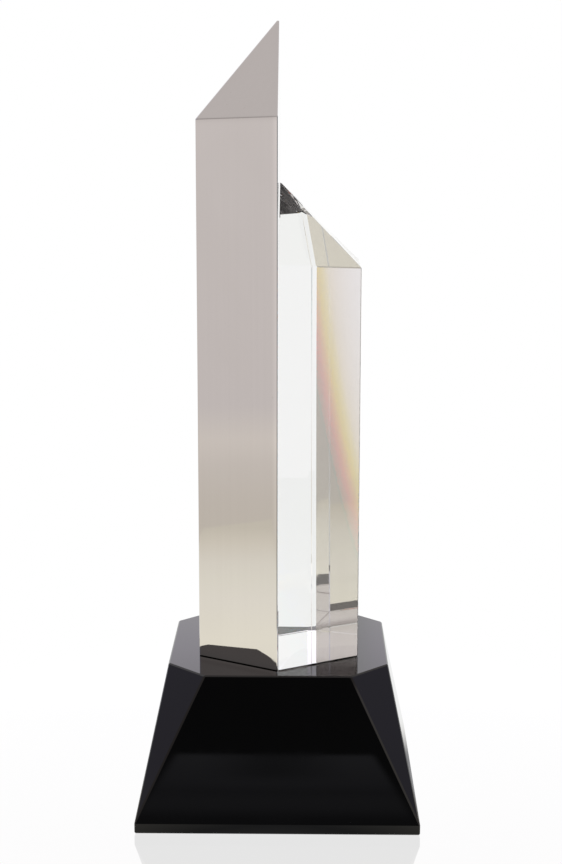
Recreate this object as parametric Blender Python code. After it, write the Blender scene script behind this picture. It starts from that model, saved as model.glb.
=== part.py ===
"""Crystal award.

A hexagonal column is split lengthwise on the plane X = 0. The -X half is mirror-polished metal,
the +X half is clear crystal and shorter. Each half is cut to a half pyramid whose peak lies on the
column's axis. Both stand on a black crystal block with a square foot, sloping sides and an octagonal
top. The metal half is held by a screw through the block, the crystal half by adhesive.

Origin: centre of the foot on the table. +Z is up, -Y is the front, one corner of the column faces it.
"""

import math

import bmesh
import bpy
from mathutils import Vector

MM = 0.001
CLEARANCE = 0.3 * MM

# Foot pad: a thin sheet let into the block's underside, a hair proud of it.
PAD_THICKNESS = 1.0 * MM
PAD_PROUD = 0.2 * MM
PAD_INSET = 7.0 * MM
PAD_CORNER = 3.0 * MM

# Black block: square foot with a low upright rim, octagonal top.
BASE_FOOT_SIDE = 108.0 * MM
BASE_TOP_SIDE = 84.8 * MM
BASE_TOP_CORNER_CUT = 14.7 * MM
BASE_BOTTOM_Z = PAD_PROUD
BASE_RIM_Z = 4.1 * MM
BASE_TOP_Z = 58.9 * MM
BASE_ARRIS = 0.45 * MM

# Adhesive layers between the block and the two halves of the column.
BOND_GAP = 0.1 * MM
BOND_THICKNESS = 0.15 * MM
BOND_INSET = 1.5 * MM
TOWER_BOTTOM_Z = BASE_TOP_Z + BOND_THICKNESS + 2.0 * BOND_GAP

# Hexagonal column, from its axis: to the corners at the split, and to the flat sides' corners.
COLUMN_SPLIT_Y = 36.8 * MM
COLUMN_SIDE_X = 31.0 * MM
COLUMN_SIDE_Y = 18.4 * MM
SPLIT_GAP = CLEARANCE

# Heights: the peak, the shoulder at the split and the shoulder at the outer corners.
METAL_PEAK_Z = 303.4 * MM
METAL_SPLIT_SHOULDER_Z = 267.1 * MM
METAL_OUTER_SHOULDER_Z = 266.0 * MM
METAL_TIP_FLAT = 1.2 * MM
METAL_ARRIS = 0.4 * MM
CRYSTAL_PEAK_Z = 242.3 * MM
CRYSTAL_SPLIT_SHOULDER_Z = 213.5 * MM
CRYSTAL_OUTER_SHOULDER_Z = 211.1 * MM
CRYSTAL_ARRIS = 0.3 * MM
CRYSTAL_BACK_FLAT_DEPTH = 1.1 * MM
CRYSTAL_FOOT_CHAMFER = 0.25 * MM

# M8 fixing screw, up through the block into the metal half.
SCREW_X = -14.0 * MM
SCREW_DIAMETER = 8.0 * MM
SCREW_LENGTH = 50.0 * MM
SCREW_HEAD_DIAMETER = 13.0 * MM
SCREW_HEAD_HEIGHT = 8.0 * MM
SCREW_HEAD_CHAMFER = 0.6 * MM
SCREW_TIP_CHAMFER = 1.0 * MM
SOCKET_ACROSS_FLATS = 6.0 * MM
SOCKET_DEPTH = 4.5 * MM
COUNTERBORE_DIAMETER = 20.0 * MM
COUNTERBORE_TOP_Z = 22.0 * MM
CLEARANCE_HOLE_DIAMETER = 9.0 * MM
TAPPED_HOLE_DIAMETER = SCREW_DIAMETER + 2.0 * CLEARANCE
TAPPED_HOLE_DEPTH = 22.0 * MM

# Washers, from the glass down to the screw's head.
WASHER_BORE = SCREW_DIAMETER + 2.0 * CLEARANCE
CUSHION_WASHER_DIAMETER = 18.0 * MM
CUSHION_WASHER_THICKNESS = 1.5 * MM
FLAT_WASHER_DIAMETER = 16.0 * MM
FLAT_WASHER_THICKNESS = 1.6 * MM
LOCK_WASHER_DIAMETER = 14.8 * MM
LOCK_WASHER_THICKNESS = 2.0 * MM
LOCK_WASHER_SLOT = 1.2 * MM
WASHER_GAP = 0.1 * MM
LOCK_WASHER_SLOT_ANGLE = math.radians(30.0)

ROUND_SEGMENTS = 40
OVERSHOOT = 2.0 * MM
ARRIS_ANGLE = math.radians(12.0)
SMOOTH_ANGLE = math.radians(25.0)

# Colour, roughness and metallic value of each finish.
FINISHES = {
    "mirror_metal": ((0.66, 0.63, 0.60), 0.06, 1.0),
    "clear_crystal": ((0.95, 0.97, 0.97), 0.01, 0.0),
    "black_crystal": ((0.006, 0.006, 0.008), 0.04, 0.0),
    "clear_adhesive": ((0.90, 0.90, 0.88), 0.15, 0.0),
    "grey_adhesive": ((0.30, 0.30, 0.30), 0.50, 0.0),
    "black_steel": ((0.05, 0.05, 0.055), 0.40, 1.0),
    "zinc_steel": ((0.62, 0.63, 0.65), 0.30, 1.0),
    "white_nylon": ((0.85, 0.85, 0.82), 0.50, 0.0),
    "black_foam": ((0.02, 0.02, 0.02), 0.85, 0.0),
}


def clear_scene():
    """Remove every object, so that only the award is left."""
    for obj in list(bpy.data.objects):
        bpy.data.objects.remove(obj, do_unlink=True)


def finish_material(name):
    """Return the Principled material of a named finish, making it on first use."""
    existing = bpy.data.materials.get(name)
    if existing:
        return existing
    colour, roughness, metallic = FINISHES[name]
    material = bpy.data.materials.new(name)
    material.use_nodes = True
    shader = material.node_tree.nodes["Principled BSDF"]
    shader.inputs["Base Color"].default_value = (*colour, 1.0)
    shader.inputs["Roughness"].default_value = roughness
    shader.inputs["Metallic"].default_value = metallic
    if name == "clear_crystal":
        shader.inputs["Transmission Weight"].default_value = 1.0
        shader.inputs["IOR"].default_value = 1.52
    return material


def add_object(name, bm, finish=None, location=(0.0, 0.0, 0.0)):
    """Turn a bmesh into a named object with outward faces, at a location."""
    bmesh.ops.recalc_face_normals(bm, faces=bm.faces)
    mesh = bpy.data.meshes.new(name)
    bm.to_mesh(mesh)
    bm.free()
    obj = bpy.data.objects.new(name, mesh)
    obj.location = location
    bpy.context.scene.collection.objects.link(obj)
    if finish:
        mesh.materials.append(finish_material(finish))
    return obj


def prism(outline, bottom, top):
    """Extrude a closed outline of (x, y) points from one height to another."""
    bm = bmesh.new()
    floor = bm.faces.new([bm.verts.new((x, y, bottom)) for x, y in outline])
    extruded = bmesh.ops.extrude_face_region(bm, geom=[floor])
    moved = [item for item in extruded["geom"] if isinstance(item, bmesh.types.BMVert)]
    bmesh.ops.translate(bm, verts=moved, vec=(0.0, 0.0, top - bottom))
    return bm


def ring_outline(radius, segments=ROUND_SEGMENTS, start=0.0):
    """Points of a regular polygon or a circle, anticlockwise from an angle."""
    step = 2.0 * math.pi / segments
    angles = [start + step * index for index in range(segments)]
    return [(radius * math.cos(angle), radius * math.sin(angle)) for angle in angles]


def cut_away(bm, point, normal):
    """Slice a convex body with a plane, drop the side the normal points to and close the cut."""
    geometry = bm.verts[:] + bm.edges[:] + bm.faces[:]
    sliced = bmesh.ops.bisect_plane(
        bm, geom=geometry, plane_co=point, plane_no=normal, clear_outer=True, dist=1e-7
    )
    rim = [item for item in sliced["geom_cut"] if isinstance(item, bmesh.types.BMEdge)]
    if rim:
        bmesh.ops.contextual_create(bm, geom=rim)


def outward_normal(corners, inside):
    """Normal of the plane through three corners, pointing away from an inside point."""
    first, second, third = (Vector(corner) for corner in corners)
    normal = (second - first).cross(third - first).normalized()
    return normal if normal.dot(first - Vector(inside)) > 0.0 else -normal


def soften_edges(obj, width, segments):
    """Grind the sharp edges of a body with an angle-limited bevel."""
    bevel = obj.modifiers.new("arris", "BEVEL")
    bevel.width = width
    bevel.segments = segments
    bevel.limit_method = "ANGLE"
    bevel.angle_limit = ARRIS_ANGLE


def subtract(obj, cutter):
    """Take a cutter's shape out of a body with a Boolean difference, and hide the cutter."""
    cutter.hide_render = True
    cutter.display_type = "WIRE"
    difference = obj.modifiers.new(cutter.name, "BOOLEAN")
    difference.operation = "DIFFERENCE"
    difference.solver = "EXACT"
    difference.object = cutter


def trim_to(obj, envelope):
    """Keep only what lies inside an envelope, and hide the envelope."""
    subtract(obj, envelope)
    obj.modifiers[envelope.name].operation = "INTERSECT"


def drill(obj, name, diameter, bottom, top):
    """Cut a round upright hole through a body on the screw's axis."""
    bm = prism(ring_outline(diameter / 2.0), bottom, top)
    subtract(obj, add_object(name, bm, location=(SCREW_X, 0.0, 0.0)))


def smooth_rounds(obj):
    """Shade the round faces smooth and keep the edges sharp."""
    obj.data.shade_smooth()
    obj.data.set_sharp_from_angle(angle=SMOOTH_ANGLE)


def square_outline(half, cut):
    """Outline of a square with its corners cut off, centred on the origin."""
    inner = half - cut
    quarter = [(half, -inner), (half, inner)]
    points = []
    for turn in range(4):
        cosine, sine = round(math.cos(turn * math.pi / 2)), round(math.sin(turn * math.pi / 2))
        points += [(cosine * x - sine * y, sine * x + cosine * y) for x, y in quarter]
    return points


def build_foot_pad():
    """Thin sheet in the recess of the block's underside. It also covers the screw's hole."""
    half = BASE_FOOT_SIDE / 2.0 - PAD_INSET
    add_object("foot_pad", prism(square_outline(half, PAD_CORNER), 0.0, PAD_THICKNESS), "black_foam")


def cut_pad_recess(base):
    """Shallow recess that takes the foot pad, with clearance above it and around it."""
    half = BASE_FOOT_SIDE / 2.0 - PAD_INSET + CLEARANCE
    bm = prism(square_outline(half, PAD_CORNER), -OVERSHOOT, PAD_THICKNESS + CLEARANCE)
    subtract(base, add_object("pad_recess_cutter", bm))


def build_black_base():
    """Square block, planed to four sloping sides and four corner facets, then drilled for the screw."""
    foot = BASE_FOOT_SIDE / 2.0
    top = BASE_TOP_SIDE / 2.0
    flat = top - BASE_TOP_CORNER_CUT
    centre = (0.0, 0.0, BASE_BOTTOM_Z)
    outline = [(foot, -foot), (foot, foot), (-foot, foot), (-foot, -foot)]
    bm = prism(outline, BASE_BOTTOM_Z, BASE_TOP_Z)
    for sign in (1.0, -1.0):
        side = (
            (sign * foot, -foot, BASE_RIM_Z),
            (sign * foot, foot, BASE_RIM_Z),
            (sign * top, 0.0, BASE_TOP_Z),
        )
        front = tuple((y, x, z) for x, y, z in side)
        cut_away(bm, side[0], outward_normal(side, centre))
        cut_away(bm, front[0], outward_normal(front, centre))
    for x_sign in (1.0, -1.0):
        for y_sign in (1.0, -1.0):
            corner = (
                (x_sign * foot, y_sign * foot, BASE_RIM_Z),
                (x_sign * top, y_sign * flat, BASE_TOP_Z),
                (x_sign * flat, y_sign * top, BASE_TOP_Z),
            )
            cut_away(bm, corner[0], outward_normal(corner, centre))
    base = add_object("black_base", bm, "black_crystal")
    soften_edges(base, BASE_ARRIS, 1)
    cut_pad_recess(base)
    drill(base, "counterbore_cutter", COUNTERBORE_DIAMETER, -OVERSHOOT, COUNTERBORE_TOP_Z)
    drill(base, "clearance_cutter", CLEARANCE_HOLE_DIAMETER, -OVERSHOOT, BASE_TOP_Z + OVERSHOOT)


def half_hexagon(side, inset=0.0):
    """Outline of one half of the column, on the side given by +1 or -1, moved inwards by an inset."""
    slope = (COLUMN_SPLIT_Y - COLUMN_SIDE_Y) / COLUMN_SIDE_X
    peak_y = COLUMN_SPLIT_Y - inset * math.hypot(1.0, slope)
    split = SPLIT_GAP / 2.0 + inset
    outer = COLUMN_SIDE_X - inset
    split_y = peak_y - slope * split
    outer_y = peak_y - slope * outer
    outline = [(split, -split_y), (outer, -outer_y), (outer, outer_y), (split, split_y)]
    return [(side * x, y) for x, y in outline]


def half_column(side, bottom, peak, shoulders):
    """Half of the hexagonal column with its half pyramid: three facets meeting at a peak at mid-split.

    The shoulders are the facets' lower corners: first at the split, then at the outer edges.
    """
    split_shoulder, outer_shoulder = shoulders
    bm = prism(half_hexagon(side), bottom, peak)
    outer_x = side * COLUMN_SIDE_X
    apex = (side * SPLIT_GAP / 2.0, 0.0, peak)
    front_split = (0.0, -COLUMN_SPLIT_Y, split_shoulder)
    front_outer = (outer_x, -COLUMN_SIDE_Y, outer_shoulder)
    back_outer = (outer_x, COLUMN_SIDE_Y, outer_shoulder)
    back_split = (0.0, COLUMN_SPLIT_Y, split_shoulder)
    inside = (side * SPLIT_GAP, 0.0, TOWER_BOTTOM_Z)
    ridge = (front_split, front_outer, back_outer, back_split)
    for first, second in zip(ridge, ridge[1:]):
        cut_away(bm, apex, outward_normal((apex, first, second), inside))
    return bm


def build_metal_tower():
    """Tall mirror-polished half with buffed edges, sawn off flat at the foot, with a tapped hole."""
    shoulders = (METAL_SPLIT_SHOULDER_Z, METAL_OUTER_SHOULDER_Z)
    blank_bottom = TOWER_BOTTOM_Z - OVERSHOOT
    bm = half_column(-1.0, blank_bottom, METAL_PEAK_Z, shoulders)
    cut_away(bm, (0.0, 0.0, METAL_PEAK_Z - METAL_TIP_FLAT), (0.0, 0.0, 1.0))
    tower = add_object("metal_tower", bm, "mirror_metal")
    soften_edges(tower, METAL_ARRIS, 2)
    offcut = prism(square_outline(BASE_FOOT_SIDE, PAD_CORNER), blank_bottom - OVERSHOOT, TOWER_BOTTOM_Z)
    subtract(tower, add_object("foot_offcut_cutter", offcut))
    hole_top = TOWER_BOTTOM_Z + TAPPED_HOLE_DEPTH
    drill(tower, "tapped_hole_cutter", TAPPED_HOLE_DIAMETER, TOWER_BOTTOM_Z - OVERSHOOT, hole_top)


def chamfered_foot_envelope():
    """Body a little larger than the crystal half all round, but flat and chamfered at its foot."""
    top = CRYSTAL_PEAK_Z + OVERSHOOT
    bm = prism(half_hexagon(1.0, -OVERSHOOT), TOWER_BOTTOM_Z, top)
    corners = half_hexagon(1.0)
    inside = (COLUMN_SIDE_X / 2.0, 0.0, top)
    for (x1, y1), (x2, y2) in zip(corners, corners[1:] + corners[:1]):
        inward = Vector((y1 - y2, x2 - x1, 0.0)).normalized() * CRYSTAL_FOOT_CHAMFER
        upper = (x1, y1, TOWER_BOTTOM_Z + CRYSTAL_FOOT_CHAMFER)
        along = (x2, y2, TOWER_BOTTOM_Z + CRYSTAL_FOOT_CHAMFER)
        lower = (x1 + inward.x, y1 + inward.y, TOWER_BOTTOM_Z)
        cut_away(bm, upper, outward_normal((upper, along, lower), inside))
    return add_object("chamfered_foot_cutter", bm)


def build_crystal_tower():
    """Short clear half: fine polished arrises, a narrow flat on its sharp back edge, a chamfered foot."""
    shoulders = (CRYSTAL_SPLIT_SHOULDER_Z, CRYSTAL_OUTER_SHOULDER_Z)
    blank_bottom = TOWER_BOTTOM_Z - OVERSHOOT
    bm = half_column(1.0, blank_bottom, CRYSTAL_PEAK_Z, shoulders)
    cut_away(bm, (0.0, COLUMN_SPLIT_Y - CRYSTAL_BACK_FLAT_DEPTH, 0.0), (0.0, 1.0, 0.0))
    tower = add_object("crystal_tower", bm, "clear_crystal")
    soften_edges(tower, CRYSTAL_ARRIS, 1)
    trim_to(tower, chamfered_foot_envelope())


def build_bonds():
    """Adhesive layers under both halves; the metal half's is cut out for the screw."""
    bottom = BASE_TOP_Z + BOND_GAP
    top = bottom + BOND_THICKNESS
    metal_layer = prism(half_hexagon(-1.0, BOND_INSET), bottom, top)
    metal_bond = add_object("metal_bond", metal_layer, "grey_adhesive")
    drill(metal_bond, "bond_cutter", CLEARANCE_HOLE_DIAMETER, bottom - OVERSHOOT, top + OVERSHOOT)
    crystal_layer = prism(half_hexagon(1.0, BOND_INSET), bottom, top)
    add_object("crystal_bond", crystal_layer, "clear_adhesive")


def ring_washer(name, size, top, finish):
    """Flat ring around the screw, of a given (diameter, thickness); also returns its underside."""
    diameter, thickness = size
    bottom = top - thickness
    bm = prism(ring_outline(diameter / 2.0), bottom, top)
    washer = add_object(name, bm, finish, (SCREW_X, 0.0, 0.0))
    drill(washer, name + "_cutter", WASHER_BORE, bottom - OVERSHOOT, top + OVERSHOOT)
    smooth_rounds(washer)
    return washer, bottom


def cut_washer_slot(washer, bottom, top):
    """Split a spring washer with a slanted slot on one side."""
    half_slot = LOCK_WASHER_SLOT / 2.0
    reach = LOCK_WASHER_DIAMETER
    outline = [(0.0, -half_slot), (reach, -half_slot), (reach, half_slot), (0.0, half_slot)]
    bm = prism(outline, bottom - OVERSHOOT, top + OVERSHOOT)
    cutter = add_object("washer_slot_cutter", bm, location=(SCREW_X, 0.0, 0.0))
    cutter.rotation_euler = (0.0, 0.0, LOCK_WASHER_SLOT_ANGLE)
    subtract(washer, cutter)


def build_washers():
    """Cushion, flat and lock washers, down from the counterbore's end; returns the last underside."""
    cushion_size = (CUSHION_WASHER_DIAMETER, CUSHION_WASHER_THICKNESS)
    flat_size = (FLAT_WASHER_DIAMETER, FLAT_WASHER_THICKNESS)
    lock_size = (LOCK_WASHER_DIAMETER, LOCK_WASHER_THICKNESS)
    top = COUNTERBORE_TOP_Z - WASHER_GAP
    _, bottom = ring_washer("cushion_washer", cushion_size, top, "white_nylon")
    _, bottom = ring_washer("flat_washer", flat_size, bottom - WASHER_GAP, "zinc_steel")
    top = bottom - WASHER_GAP
    lock, bottom = ring_washer("lock_washer", lock_size, top, "zinc_steel")
    cut_washer_slot(lock, bottom, top)
    return bottom


def turned_body(profile, segments=ROUND_SEGMENTS):
    """Spin a half profile of (radius, height) points, which starts and ends on the axis, about +Z."""
    bm = bmesh.new()
    verts = [bm.verts.new((radius, 0.0, height)) for radius, height in profile]
    edges = [bm.edges.new(pair) for pair in zip(verts, verts[1:])]
    bmesh.ops.spin(
        bm,
        geom=verts + edges,
        axis=(0.0, 0.0, 1.0),
        cent=(0.0, 0.0, 0.0),
        angle=2.0 * math.pi,
        steps=segments,
        use_merge=True,
    )
    bmesh.ops.remove_doubles(bm, verts=bm.verts, dist=1e-6)
    return bm


def build_tower_screw(head_top):
    """Socket-head screw, head down, whose shank runs up from the head."""
    head = SCREW_HEAD_DIAMETER / 2.0
    shank = SCREW_DIAMETER / 2.0
    head_bottom = head_top - SCREW_HEAD_HEIGHT
    tip = head_top + SCREW_LENGTH
    profile = [
        (0.0, head_bottom),
        (head - SCREW_HEAD_CHAMFER, head_bottom),
        (head, head_bottom + SCREW_HEAD_CHAMFER),
        (head, head_top),
        (shank, head_top),
        (shank, tip - SCREW_TIP_CHAMFER),
        (shank - SCREW_TIP_CHAMFER, tip),
        (0.0, tip),
    ]
    screw = add_object("tower_screw", turned_body(profile), "black_steel", (SCREW_X, 0.0, 0.0))
    socket_radius = SOCKET_ACROSS_FLATS / (2.0 * math.cos(math.pi / 6.0))
    socket = prism(ring_outline(socket_radius, 6), head_bottom - OVERSHOOT, head_bottom + SOCKET_DEPTH)
    subtract(screw, add_object("socket_cutter", socket, location=(SCREW_X, 0.0, 0.0)))
    smooth_rounds(screw)


def main():
    clear_scene()
    build_foot_pad()
    build_black_base()
    build_metal_tower()
    build_crystal_tower()
    build_bonds()
    washer_bottom = build_washers()
    build_tower_screw(washer_bottom - WASHER_GAP)


main()
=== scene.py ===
"""Looks for the crystal award: studio, camera and the materials of every piece."""

import math

import bmesh
import bpy
from mathutils import Matrix

MM = 0.001

# Camera, in metres and degrees: it stands in front of the award, a little above its middle.
CAMERA_DISTANCE = 0.6495
CAMERA_SIDE = 0.0006
CAMERA_HEIGHT = 0.2685
CAMERA_PITCH = 10.784
CAMERA_TURN = -0.752
CAMERA_ROLL = 0.068
CAMERA_LENS_MM = 70.04
SENSOR_MM = 36.0

# Studio table around the award, in metres. It lies a hair below the foot.
TABLE_HALF_WIDTH = 0.43
TABLE_FRONT = 0.27
TABLE_BACK = 0.60
TABLE_Z = -0.0002

# Soft lamp: place and size in metres, tilt in degrees, power in watts.
LAMP_PLACE = (-0.5, -0.2, 1.4)
LAMP_TILT = -20.0
LAMP_SIZE = (0.9, 0.6)
LAMP_POWER = 4.0

# The dim patch behind the camera: its centre, half its width at eye level, how fast that narrows
# upwards, and the softness of its sides, all as parts of a unit direction.
PATCH_CENTRE = -0.0155
PATCH_HALF_WIDTH = 0.0825
PATCH_NARROWING = 0.64
PATCH_SOFTNESS = 0.003

# Refractive index of the crystal for red, green and blue light, and how far each band of light spreads.
CRYSTAL_INDEX = (1.5030, 1.5090, 1.5154)
CRYSTAL_SPREAD = 0.0022
CRYSTAL_BENDING = 1.502
BAND_STEPS = (-1.0, -0.33, 0.33, 1.0)

# Rolled-off edges of the polished metal: width in millimetres, and how much of the lean is kept.
ROLL_OFF_MM = 4.5
ROLL_OFF_SHARE = 0.10


class Graph:
    """Small helper that adds shader nodes and wires them by socket."""

    def __init__(self, tree):
        self.tree = tree
        tree.nodes.clear()

    def add(self, kind, settings=None, **inputs):
        node = self.tree.nodes.new(kind)
        for key, value in (settings or {}).items():
            setattr(node, key, value)
        for key, value in inputs.items():
            self.feed(node, key.replace("_", " "), value)
        return node

    def feed(self, node, socket, value):
        target = node.inputs[socket]
        if isinstance(value, bpy.types.NodeSocket):
            self.tree.links.new(value, target)
        else:
            target.default_value = value

    def math(self, operation, first, second=0.0):
        node = self.tree.nodes.new("ShaderNodeMath")
        node.operation = operation
        self.feed(node, 0, first)
        self.feed(node, 1, second)
        return node.outputs[0]

    def ramp(self, value, low, high, start=0.0, end=1.0):
        """Smooth step of a value, from start at low to end at high."""
        node = self.tree.nodes.new("ShaderNodeMapRange")
        node.interpolation_type = "SMOOTHSTEP"
        self.feed(node, "Value", value)
        self.feed(node, "From Min", low)
        self.feed(node, "From Max", high)
        self.feed(node, "To Min", start)
        self.feed(node, "To Max", end)
        return node.outputs["Result"]

    def stops(self, value, stops):
        """Colour ramp; stops are (position, colour) with positions in the value's own units."""
        low = stops[0][0]
        high = stops[-1][0]
        scaled = self.tree.nodes.new("ShaderNodeMapRange")
        self.feed(scaled, "Value", value)
        self.feed(scaled, "From Min", low)
        self.feed(scaled, "From Max", high)
        node = self.tree.nodes.new("ShaderNodeValToRGB")
        self.tree.links.new(scaled.outputs["Result"], node.inputs["Fac"])
        elements = node.color_ramp.elements
        while len(elements) < len(stops):
            elements.new(0.5)
        for element, (position, tint) in zip(elements, stops):
            element.position = (position - low) / (high - low)
            element.color = (*tint, 1.0)
        return node.outputs["Color"]

    def mix(self, factor, first, second, blend="MIX"):
        node = self.tree.nodes.new("ShaderNodeMix")
        node.data_type = "RGBA"
        node.blend_type = blend
        self.feed(node, 0, factor)
        self.feed(node, 6, first)
        self.feed(node, 7, second)
        return node.outputs[2]

    def place(self, stretch=(1.0, 1.0, 1.0)):
        """Position on the object in millimetres, stretched per axis."""
        where = self.add("ShaderNodeTexCoord").outputs["Object"]
        return self.vector("MULTIPLY", where, tuple(value / MM for value in stretch)).outputs[0]

    def noise(self, place, size, detail=3.0, roughness=0.5):
        """Cloudy value between 0 and 1 whose patches are about size millimetres wide."""
        node = self.add("ShaderNodeTexNoise", Vector=place, Scale=1.0 / size, Detail=detail)
        self.feed(node, "Roughness", roughness)
        return node.outputs["Fac"]

    def vector(self, operation, first, second=None):
        node = self.add("ShaderNodeVectorMath", {"operation": operation})
        self.feed(node, 0, first)
        if second is not None:
            self.feed(node, 1, second)
        return node

    def bump(self, height, depth_mm, strength=1.0):
        node = self.add("ShaderNodeBump", Strength=strength, Distance=depth_mm * MM)
        self.feed(node, "Height", height)
        return node.outputs["Normal"]


def colour(red, green, blue):
    return (red, green, blue, 1.0)


WHITE = colour(1.0, 1.0, 1.0)
BLACK = colour(0.0, 0.0, 0.0)


def build_world():
    """Studio surroundings, by direction: bright backdrop, warm grey sides, dark room behind the
    camera. The camera itself sees plain white instead."""
    world = bpy.data.worlds.new("studio")
    bpy.context.scene.world = world
    world.use_nodes = True
    graph = Graph(world.node_tree)
    direction = graph.add("ShaderNodeTexCoord").outputs["Generated"]
    parts = graph.add("ShaderNodeSeparateXYZ", Vector=direction)
    across = parts.outputs["X"]
    depth = parts.outputs["Y"]
    height = parts.outputs["Z"]
    left = graph.ramp(across, 0.1, -0.1)
    lift = graph.ramp(depth, -0.47, -0.60, 1.0, 1.16)
    left_side = graph.mix(1.0, left_wall(graph, height), lift, "MULTIPLY")
    towards_camera = graph.mix(left, right_wall(graph, height), left_side)
    around = graph.mix(graph.ramp(depth, -0.15, -0.35), side_walls(graph, height), towards_camera)
    around = graph.mix(graph.ramp(depth, -0.66, -0.86), around, dark_room(graph, across, height))
    backdrop_seen = backdrop(graph, across, height)
    back = graph.mix(graph.ramp(across, -0.4, -0.65), backdrop_seen, colour(1.0, 0.995, 1.06))
    seen = graph.mix(graph.ramp(depth, 0.25, 0.5), around, back)
    camera_ray = graph.add("ShaderNodeLightPath").outputs["Is Camera Ray"]
    shown = graph.mix(camera_ray, seen, WHITE)
    strength = graph.add("ShaderNodeBackground", Color=shown, Strength=1.0)
    graph.add("ShaderNodeOutputWorld", Surface=strength.outputs[0])


def left_wall(graph, height):
    """Warm grey wall on the left, with a faint lighter band low down."""
    return graph.stops(
        height,
        (
            (-0.26, (0.612, 0.560, 0.485)),
            (-0.228, (0.622, 0.566, 0.506)),
            (-0.207, (0.655, 0.598, 0.550)),
            (-0.192, (0.712, 0.652, 0.603)),
            (-0.172, (0.645, 0.592, 0.575)),
            (0.0, (0.675, 0.622, 0.603)),
            (0.12, (0.50, 0.455, 0.435)),
            (0.27, (0.285, 0.25, 0.243)),
            (0.45, (0.54, 0.50, 0.49)),
            (1.0, (0.56, 0.52, 0.51)),
        ),
    )


def right_wall(graph, height):
    """Warm wall on the right, towards the camera, lighter just above the table."""
    return graph.stops(
        height,
        (
            (-0.25, (0.63, 0.59, 0.52)),
            (-0.2, (0.62, 0.575, 0.53)),
            (0.0, (0.66, 0.60, 0.58)),
            (0.25, (0.69, 0.64, 0.60)),
            (0.285, (0.70, 0.65, 0.61)),
            (0.305, (0.77, 0.71, 0.69)),
            (0.316, (0.77, 0.71, 0.69)),
            (0.321, (0.38, 0.335, 0.325)),
            (0.6, (0.40, 0.36, 0.34)),
            (1.0, (0.56, 0.52, 0.51)),
        ),
    )


def side_walls(graph, height):
    """Surroundings straight out to either side."""
    return graph.stops(
        height,
        (
            (-0.3, (0.62, 0.56, 0.50)),
            (0.0, (0.66, 0.60, 0.58)),
            (0.12, (0.50, 0.47, 0.47)),
            (0.24, (0.315, 0.30, 0.375)),
            (0.31, (0.36, 0.345, 0.43)),
            (0.6, (0.52, 0.485, 0.47)),
            (0.82, (0.575, 0.53, 0.515)),
            (1.0, (0.56, 0.52, 0.51)),
        ),
    )


def backdrop(graph, across, height):
    """White backdrop, lit more strongly higher up, where its middle is a little dimmer."""
    white = graph.stops(
        height,
        (
            (-0.3, (0.99, 0.99, 0.99)),
            (0.1, (0.99, 0.99, 0.99)),
            (0.26, (1.25, 1.23, 1.28)),
            (0.288, (1.28, 1.25, 1.32)),
            (0.31, (1.22, 1.17, 1.28)),
            (0.325, (1.12, 1.08, 1.17)),
            (0.345, (0.98, 0.97, 0.99)),
            (0.6, (0.70, 0.66, 0.65)),
            (1.0, (0.56, 0.52, 0.51)),
        ),
    )
    middle = graph.ramp(graph.math("ABSOLUTE", across), 0.05, 0.02)
    high = graph.ramp(height, 0.27, 0.285)
    return graph.mix(graph.math("MULTIPLY", middle, high), white, colour(0.98, 0.98, 0.98))


def dark_room(graph, across, height):
    """Dark room behind the camera, with a dim pale patch low down in the middle."""
    room = graph.stops(
        height,
        (
            (-0.2, (0.10, 0.10, 0.105)),
            (0.05, (0.035, 0.035, 0.037)),
            (0.5, (0.04, 0.04, 0.04)),
            (1.0, (0.56, 0.52, 0.51)),
        ),
    )
    patch = graph.stops(
        height,
        (
            (-0.012, (0.055, 0.055, 0.060)),
            (0.003, (0.070, 0.070, 0.077)),
            (0.009, (0.135, 0.135, 0.148)),
            (0.013, (0.142, 0.142, 0.156)),
            (0.018, (0.122, 0.122, 0.136)),
            (0.023, (0.160, 0.160, 0.178)),
            (0.037, (0.205, 0.205, 0.225)),
        ),
    )
    off_centre = graph.math("ABSOLUTE", graph.math("SUBTRACT", across, PATCH_CENTRE))
    shade = graph.ramp(off_centre, 0.0, 0.05, 0.6, 1.0)
    fade = graph.ramp(height, 0.022, 0.030)
    shade = graph.math("ADD", graph.math("MULTIPLY", graph.math("SUBTRACT", shade, 1.0), fade), 1.0)
    patch = graph.mix(1.0, patch, shade, "MULTIPLY")
    narrowing = graph.math("MULTIPLY", height, PATCH_NARROWING)
    half_width = graph.math("SUBTRACT", PATCH_HALF_WIDTH, narrowing)
    beside = graph.math("SUBTRACT", off_centre, half_width)
    inside = graph.ramp(beside, PATCH_SOFTNESS, -PATCH_SOFTNESS)
    below = graph.ramp(height, 0.0405, 0.038)
    return graph.mix(graph.math("MULTIPLY", inside, below), room, patch)


def build_table():
    bm = bmesh.new()
    outline = (
        (-TABLE_HALF_WIDTH, -TABLE_FRONT),
        (TABLE_HALF_WIDTH, -TABLE_FRONT),
        (TABLE_HALF_WIDTH, TABLE_BACK),
        (-TABLE_HALF_WIDTH, TABLE_BACK),
    )
    bm.faces.new([bm.verts.new((x, y, TABLE_Z)) for x, y in outline])
    mesh = bpy.data.meshes.new("table")
    bm.to_mesh(mesh)
    bm.free()
    table = bpy.data.objects.new("table", mesh)
    bpy.context.scene.collection.objects.link(table)
    mesh.materials.append(pale_table())


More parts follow.
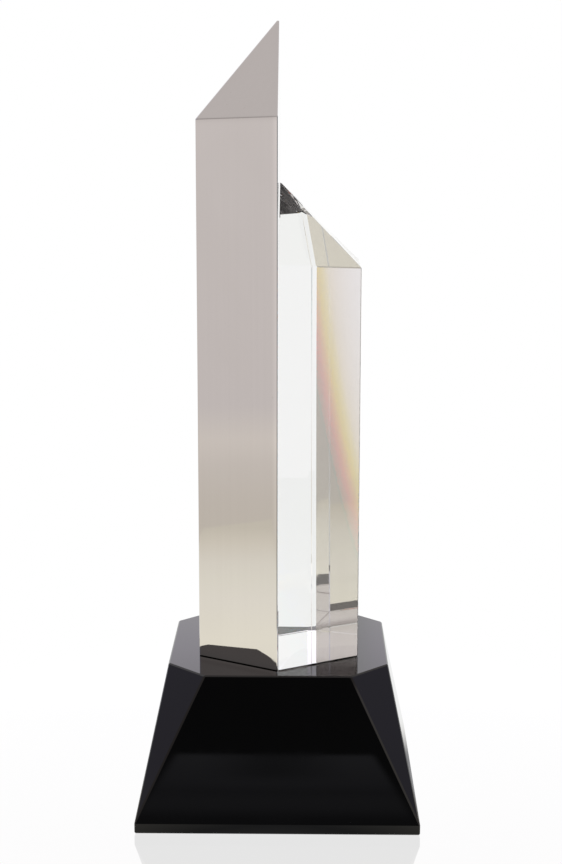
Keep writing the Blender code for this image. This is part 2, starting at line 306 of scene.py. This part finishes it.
def pale_table():
    """Pale glossy table that glows, so its light and shade are painted. The camera sees it glow
    near-white, mirroring the foot faintly. Mirrors and glass see it glow with painted light: white
    behind the award, and in front a painted shadow near the foot, then painted warm light."""
    material, graph = new_material("table")
    place = graph.add("ShaderNodeNewGeometry").outputs["Position"]
    parts = graph.add("ShaderNodeSeparateXYZ", Vector=place)
    reach = graph.vector("LENGTH", place).outputs["Value"]
    # Painted glow: a painted shadow around the foot, then painted warm light further out.
    near = graph.stops(
        reach,
        (
            (0.05, (0.36, 0.36, 0.37)),
            (0.064, (0.22, 0.22, 0.225)),
            (0.10, (0.80, 0.76, 0.68)),
            (0.24, (0.905, 0.86, 0.74)),
            (0.31, (0.87, 0.825, 0.73)),
            (0.35, (0.84, 0.80, 0.70)),
            (0.39, (0.805, 0.76, 0.67)),
            (0.44, (0.73, 0.675, 0.58)),
            (0.48, (0.65, 0.60, 0.51)),
        ),
    )
    back = graph.ramp(parts.outputs["Y"], 0.02, 0.08)
    lit = graph.mix(back, near, colour(0.945, 0.95, 0.945))
    glow = graph.add("ShaderNodeEmission", Color=lit, Strength=1.0)
    camera_ray = graph.add("ShaderNodeLightPath").outputs["Is Camera Ray"]
    far = graph.ramp(reach, 0.10, 0.20)
    paper = graph.mix(far, colour(0.78, 0.78, 0.78), WHITE)
    white = graph.add("ShaderNodeEmission", Color=paper, Strength=1.0)
    sheen = graph.mix(far, colour(0.22, 0.22, 0.22), BLACK)
    gloss = graph.add("ShaderNodeBsdfGlossy", Color=sheen, Roughness=0.02)
    shown = graph.add("ShaderNodeAddShader")
    graph.feed(shown, 0, white.outputs[0])
    graph.feed(shown, 1, gloss.outputs[0])
    either = graph.add("ShaderNodeMixShader", Fac=camera_ray)
    graph.feed(either, 1, glow.outputs[0])
    graph.feed(either, 2, shown.outputs[0])
    graph.add("ShaderNodeOutputMaterial", Surface=either.outputs[0])
    return material


def build_light():
    """Large soft lamp high on the left, for the matt hidden pieces; it gives no highlights."""
    data = bpy.data.lights.new("soft_lamp", "AREA")
    data.shape = "RECTANGLE"
    data.size = LAMP_SIZE[0]
    data.size_y = LAMP_SIZE[1]
    data.energy = LAMP_POWER
    data.color = (1.0, 0.98, 0.95)
    data.specular_factor = 0.0
    lamp = bpy.data.objects.new("soft_lamp", data)
    tilt = Matrix.Rotation(math.radians(LAMP_TILT), 4, "Y")
    lamp.matrix_world = Matrix.Translation(LAMP_PLACE) @ tilt
    lamp.visible_camera = False
    lamp.visible_glossy = False
    lamp.visible_transmission = False
    bpy.context.scene.collection.objects.link(lamp)


def new_material(name):
    material = bpy.data.materials.new(name)
    material.use_nodes = True
    return material, Graph(material.node_tree)


def finish_surface(graph, material, base, roughness, normal, **inputs):
    """Close a material with a Principled shader."""
    shader = graph.add("ShaderNodeBsdfPrincipled", Roughness=roughness, **inputs)
    graph.feed(shader, "Base Color", base)
    graph.feed(shader, "Normal", normal)
    graph.add("ShaderNodeOutputMaterial", Surface=shader.outputs[0])
    return material


def polish_roll_off(graph):
    """Normal that leans a little outwards near the edges, where a buffing wheel rounds a face off."""
    face = graph.add("ShaderNodeNewGeometry").outputs["Normal"]
    rounded = graph.add("ShaderNodeBevel", {"samples": 6}, Radius=ROLL_OFF_MM * MM).outputs["Normal"]
    lean = graph.vector("SUBTRACT", rounded, face)
    weak = graph.vector("SCALE", lean.outputs[0])
    graph.feed(weak, "Scale", ROLL_OFF_SHARE)
    total = graph.vector("ADD", weak.outputs[0], face)
    return graph.vector("NORMALIZE", total.outputs[0]).outputs[0]


def mirror_metal():
    """Bright plated metal: faint upright polishing streaks, a few smudges and rolled-off edges."""
    material, graph = new_material("mirror_metal_look")
    streaks = graph.noise(graph.place((1.0, 1.0, 0.012)), 1.6, 4.0, 0.6)
    hairs = graph.noise(graph.place((1.0, 1.0, 0.006)), 0.22, 2.0, 0.5)
    clouds = graph.noise(graph.place(), 38.0, 2.0)
    specks = graph.ramp(graph.noise(graph.place(), 1.1, 1.0), 0.80, 0.84)
    base = graph.mix(streaks, colour(0.785, 0.774, 0.768), colour(0.815, 0.806, 0.801))
    smudges = graph.ramp(clouds, 0.50, 0.72)
    base = graph.mix(graph.math("MULTIPLY", smudges, 0.6), base, colour(0.782, 0.771, 0.763))
    base = graph.mix(specks, base, colour(0.72, 0.70, 0.685))
    streaky = graph.math("MULTIPLY", streaks, 0.02)
    smeared = graph.math("MULTIPLY", smudges, 0.02)
    roughness = graph.math("ADD", graph.math("ADD", streaky, smeared), 0.016)
    normal = graph.bump(hairs, 0.0006, 0.5)
    graph.feed(normal.node, "Normal", polish_roll_off(graph))
    return finish_surface(graph, material, base, roughness, normal, Metallic=1.0)


def fresnel_band(graph, index):
    """Reflectance averaged over a narrow band of light around one refractive index."""
    total = 0.0
    for step in BAND_STEPS:
        share = graph.add("ShaderNodeFresnel", IOR=index + step * CRYSTAL_SPREAD).outputs[0]
        total = graph.math("ADD", total, share)
    return graph.math("MULTIPLY", total, 1.0 / len(BAND_STEPS))


def clear_crystal():
    """Optical glass. Its reflectance is worked out for red, green and blue light separately, so the
    edge of total internal reflection breaks into colours as it does in a real prism."""
    material, graph = new_material("clear_crystal_look")
    reflected = graph.add("ShaderNodeCombineColor")
    for channel, index in zip(("Red", "Green", "Blue"), CRYSTAL_INDEX):
        graph.feed(reflected, channel, fresnel_band(graph, index))
    passed = graph.mix(1.0, WHITE, reflected.outputs[0], "SUBTRACT")
    haze = graph.noise(graph.place(), 9.0, 4.0, 0.6)
    tint = graph.mix(haze, colour(0.971, 0.974, 0.972), colour(0.977, 0.979, 0.978))
    passed = graph.mix(1.0, passed, tint, "MULTIPLY")
    polish = graph.ramp(haze, 0.45, 0.75, 0.0, 0.006)
    mirror = graph.add("ShaderNodeBsdfGlossy", Roughness=polish, Color=reflected.outputs[0])
    through = graph.add("ShaderNodeBsdfRefraction", Roughness=0.0, IOR=CRYSTAL_BENDING, Color=passed)
    total = graph.add("ShaderNodeAddShader")
    graph.feed(total, 0, mirror.outputs[0])
    graph.feed(total, 1, through.outputs[0])
    graph.add("ShaderNodeOutputMaterial", Surface=total.outputs[0])
    return material


def black_crystal():
    """Opaque black glass: deep gloss with a trace of haze, hairline scratches and dust."""
    material, graph = new_material("black_crystal_look")
    haze = graph.noise(graph.place(), 16.0, 4.0, 0.6)
    hairs = graph.noise(graph.place((1.0, 0.05, 1.0)), 0.35, 2.0)
    dust = graph.ramp(graph.noise(graph.place(), 0.9, 2.0), 0.74, 0.80)
    base = graph.mix(haze, colour(0.0012, 0.0012, 0.0013), colour(0.0020, 0.0020, 0.0022))
    base = graph.mix(dust, base, colour(0.006, 0.006, 0.006))
    roughness = graph.ramp(haze, 0.35, 0.75, 0.012, 0.035)
    return finish_surface(graph, material, base, roughness, graph.bump(hairs, 0.0004, 0.4), IOR=1.52)


def grey_adhesive():
    """Cured structural adhesive: uneven grey with small voids."""
    material, graph = new_material("grey_adhesive_look")
    clouds = graph.noise(graph.place(), 3.0, 4.0)
    voids = graph.ramp(graph.noise(graph.place(), 0.5, 2.0), 0.60, 0.68)
    base = graph.mix(clouds, colour(0.16, 0.16, 0.16), colour(0.28, 0.28, 0.275))
    base = graph.mix(voids, base, colour(0.10, 0.10, 0.10))
    roughness = graph.ramp(clouds, 0.3, 0.7, 0.45, 0.62)
    return finish_surface(graph, material, base, roughness, graph.bump(clouds, 0.03))


def clear_adhesive():
    """Cured clear adhesive: it wets both faces, so the black block shows through it."""
    material, graph = new_material("clear_adhesive_look")
    clouds = graph.noise(graph.place(), 5.0, 3.0)
    base = graph.mix(clouds, colour(0.028, 0.027, 0.027), colour(0.045, 0.043, 0.042))
    bubbles = graph.ramp(graph.noise(graph.place(), 0.7, 2.0), 0.70, 0.76)
    base = graph.mix(bubbles, base, colour(0.09, 0.09, 0.09))
    roughness = graph.ramp(clouds, 0.3, 0.7, 0.10, 0.18)
    return finish_surface(graph, material, base, roughness, graph.bump(clouds, 0.01), IOR=1.48)


def black_steel():
    """Black-oxide steel: nearly black, satin, with turned rings and paler worn spots."""
    material, graph = new_material("black_steel_look")
    mottle = graph.noise(graph.place(), 1.4, 4.0, 0.6)
    rings = graph.noise(graph.place((0.15, 0.15, 1.0)), 0.25, 2.0)
    wear = graph.ramp(mottle, 0.62, 0.74)
    base = graph.mix(mottle, colour(0.030, 0.030, 0.034), colour(0.065, 0.064, 0.066))
    base = graph.mix(wear, base, colour(0.16, 0.15, 0.145))
    roughness = graph.ramp(mottle, 0.3, 0.7, 0.32, 0.50)
    return finish_surface(graph, material, base, roughness, graph.bump(rings, 0.01), Metallic=1.0)


def zinc_steel():
    """Zinc-plated steel: pale grey with a fine crystalline mottle and pressing marks."""
    material, graph = new_material("zinc_steel_look")
    grains = graph.add("ShaderNodeTexVoronoi", Vector=graph.place(), Scale=1.6).outputs["Color"]
    tone = graph.add("ShaderNodeSeparateColor", Color=grains).outputs[0]
    clouds = graph.noise(graph.place(), 2.4, 4.0)
    base = graph.mix(tone, colour(0.54, 0.55, 0.58), colour(0.68, 0.69, 0.70))
    base = graph.mix(graph.ramp(clouds, 0.55, 0.8), base, colour(0.60, 0.58, 0.50))
    roughness = graph.ramp(clouds, 0.3, 0.7, 0.22, 0.38)
    return finish_surface(graph, material, base, roughness, graph.bump(clouds, 0.008), Metallic=1.0)


def white_nylon():
    """Moulded nylon: warm white, slightly translucent, faintly pebbled."""
    material, graph = new_material("white_nylon_look")
    clouds = graph.noise(graph.place(), 4.0, 3.0)
    pebbles = graph.noise(graph.place(), 0.3, 3.0)
    base = graph.mix(clouds, colour(0.80, 0.79, 0.74), colour(0.87, 0.86, 0.82))
    roughness = graph.ramp(pebbles, 0.3, 0.7, 0.42, 0.58)
    normal = graph.bump(pebbles, 0.02)
    return finish_surface(graph, material, base, roughness, normal, Subsurface_Weight=0.15)


def black_foam():
    """Fine-celled foam sheet: matt black with open cells and lint."""
    material, graph = new_material("black_foam_look")
    cells = graph.add("ShaderNodeTexVoronoi", Vector=graph.place(), Scale=2.2).outputs["Distance"]
    lint = graph.ramp(graph.noise(graph.place((1.0, 0.2, 1.0)), 1.2, 3.0), 0.66, 0.74)
    base = graph.mix(cells, colour(0.008, 0.008, 0.008), colour(0.028, 0.028, 0.029))
    base = graph.mix(lint, base, colour(0.06, 0.06, 0.06))
    roughness = graph.ramp(cells, 0.1, 0.6, 0.95, 0.80)
    return finish_surface(graph, material, base, roughness, graph.bump(cells, 0.08))


def dress(frame):
    """Give every carried-over solid its finished material."""
    zinc = zinc_steel()
    looks = {
        "metal_tower": mirror_metal(),
        "crystal_tower": clear_crystal(),
        "black_base": black_crystal(),
        "metal_bond": grey_adhesive(),
        "crystal_bond": clear_adhesive(),
        "tower_screw": black_steel(),
        "lock_washer": zinc,
        "flat_washer": zinc,
        "cushion_washer": white_nylon(),
        "foot_pad": black_foam(),
    }
    for node, material in looks.items():
        frame["nodes"][node].material_slots[0].material = material


def build_camera():
    data = bpy.data.cameras.new("camera")
    data.lens = CAMERA_LENS_MM
    data.sensor_width = SENSOR_MM
    camera = bpy.data.objects.new("camera", data)
    bpy.context.scene.collection.objects.link(camera)
    turn = Matrix.Rotation(math.radians(-CAMERA_TURN), 4, "Z")
    place = Matrix.Translation((CAMERA_SIDE, -CAMERA_DISTANCE, CAMERA_HEIGHT))
    tilt = Matrix.Rotation(math.radians(90.0 - CAMERA_PITCH), 4, "X")
    roll = Matrix.Rotation(math.radians(CAMERA_ROLL), 4, "Z")
    camera.matrix_world = turn @ place @ tilt @ roll
    bpy.context.scene.camera = camera


def set_light_paths():
    """Enough bounces for light to find its way out of the crystal."""
    scene = bpy.context.scene
    scene.view_settings.view_transform = "Standard"
    scene.cycles.max_bounces = 40
    scene.cycles.glossy_bounces = 32
    scene.cycles.transmission_bounces = 32
    scene.cycles.transparent_max_bounces = 16


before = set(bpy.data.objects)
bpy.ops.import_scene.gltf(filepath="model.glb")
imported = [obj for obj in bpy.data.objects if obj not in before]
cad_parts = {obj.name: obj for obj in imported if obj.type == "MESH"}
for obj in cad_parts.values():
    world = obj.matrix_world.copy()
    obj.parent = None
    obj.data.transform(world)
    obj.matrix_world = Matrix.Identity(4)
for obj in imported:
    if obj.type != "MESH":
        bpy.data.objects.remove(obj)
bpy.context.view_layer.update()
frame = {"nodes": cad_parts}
build_world()
build_table()
build_light()
dress(frame)
build_camera()
set_light_paths()
